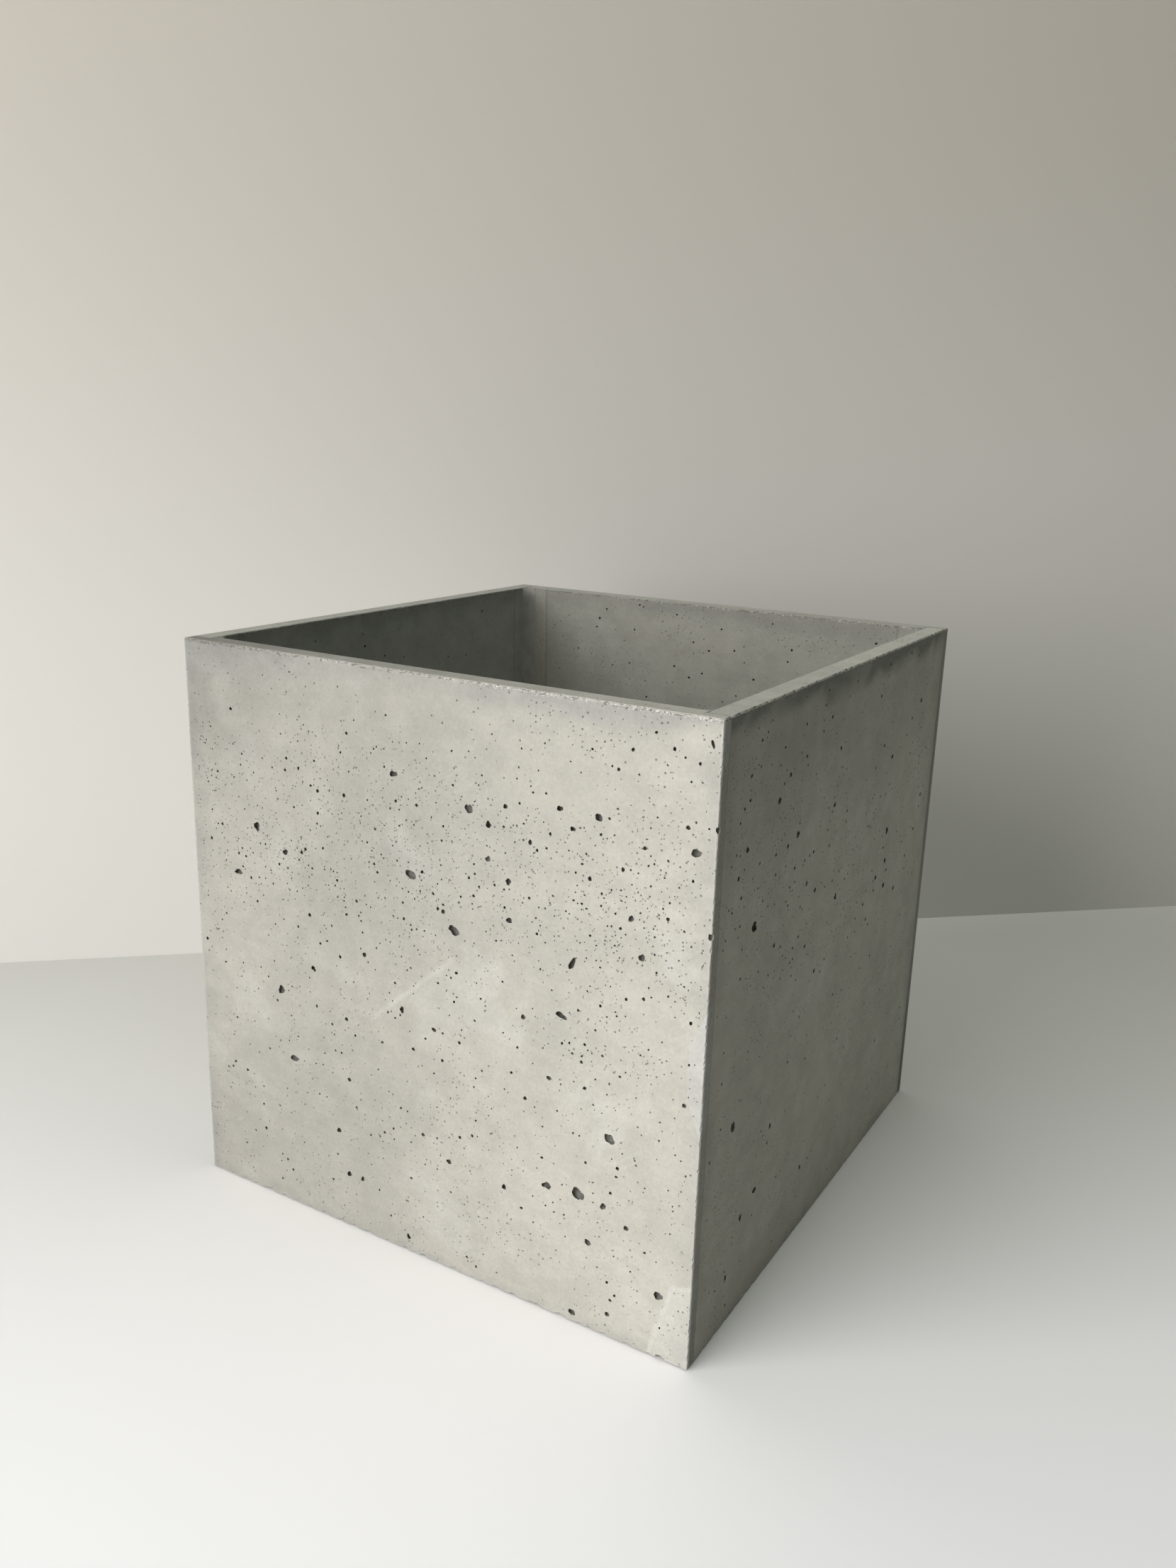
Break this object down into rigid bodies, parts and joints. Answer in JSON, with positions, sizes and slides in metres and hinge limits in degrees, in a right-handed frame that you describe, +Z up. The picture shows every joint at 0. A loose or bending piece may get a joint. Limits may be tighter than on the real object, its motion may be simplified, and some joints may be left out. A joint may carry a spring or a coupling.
{
  "type": "planter",
  "caption": "Open-topped, nearly cubic planter of thin cast concrete slabs, lapped and bonded at the corners, with a drain in its base closed by a rubber plug.",
  "frame": {"origin": "on the ground under the middle of the planter", "axes": "+Z up, out of the mouth; -Y out of the front face; +X to the right of someone facing the front"},
  "size_m": [0.3, 0.306, 0.302],
  "materials": {
    "concrete": "matte",
    "mortar": "matte",
    "joint_adhesive": "matte",
    "scrim": "matte",
    "sleeve_plastic": "satin",
    "plug_rubber": "matte",
    "pad_rubber": "matte"
  },
  "bodies": {
    "planter": {"front_slab": "concrete", "rear_slab": "concrete", "left_slab": "concrete", "right_slab": "concrete", "base_slab": "concrete", "front_scrim": "scrim", "rear_scrim": "scrim", "left_scrim": "scrim", "right_scrim": "scrim", "base_scrim": "scrim", "corner_bond_front_left": "joint_adhesive", "corner_bond_front_right": "joint_adhesive", "corner_bond_rear_left": "joint_adhesive", "corner_bond_rear_right": "joint_adhesive", "base_bond": "joint_adhesive", "corner_cove_front_left": "mortar", "corner_cove_front_right": "mortar", "corner_cove_rear_left": "mortar", "corner_cove_rear_right": "mortar", "base_cove": "mortar", "foot_pad_front_left": "pad_rubber", "foot_pad_front_right": "pad_rubber", "foot_pad_rear_left": "pad_rubber", "foot_pad_rear_right": "pad_rubber", "drain_sleeve": "sleeve_plastic"},
    "plug": {"drain_plug": "plug_rubber"}
  },
  "joints": [
    {"name": "drain_plug_pull", "type": "slide", "parent": "planter", "child": "plug", "axis": [0, 0, 1], "range_m": [0, 0.31]}
  ]
}
